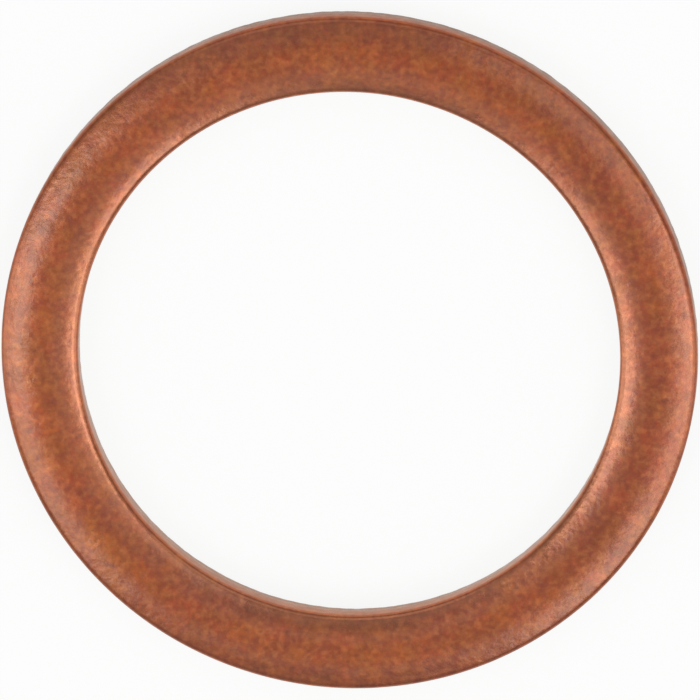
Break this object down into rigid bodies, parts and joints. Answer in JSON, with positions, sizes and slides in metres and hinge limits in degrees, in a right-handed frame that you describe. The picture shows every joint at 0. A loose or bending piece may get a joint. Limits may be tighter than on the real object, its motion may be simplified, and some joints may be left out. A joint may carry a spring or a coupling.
{
  "type": "crush washer",
  "caption": "Flat ring of soft annealed copper, clamped under a threaded plug or fitting, where it deforms to seal the joint; gently crowned upper face and rounded punched edges.",
  "frame": {"origin": "centre of the bore, in the plane of the lower sealing face that the washer lies on", "axes": "+Z along the bore axis, away from the face that it lies on"},
  "size_m": [0.026, 0.026, 0.0015],
  "materials": {
    "copper": "annealed and tumbled copper, dull red-brown with a fine grain, mottled tarnish and brighter worn edges"
  },
  "bodies": {
    "root": {"washer": "copper"}
  },
  "joints": []
}
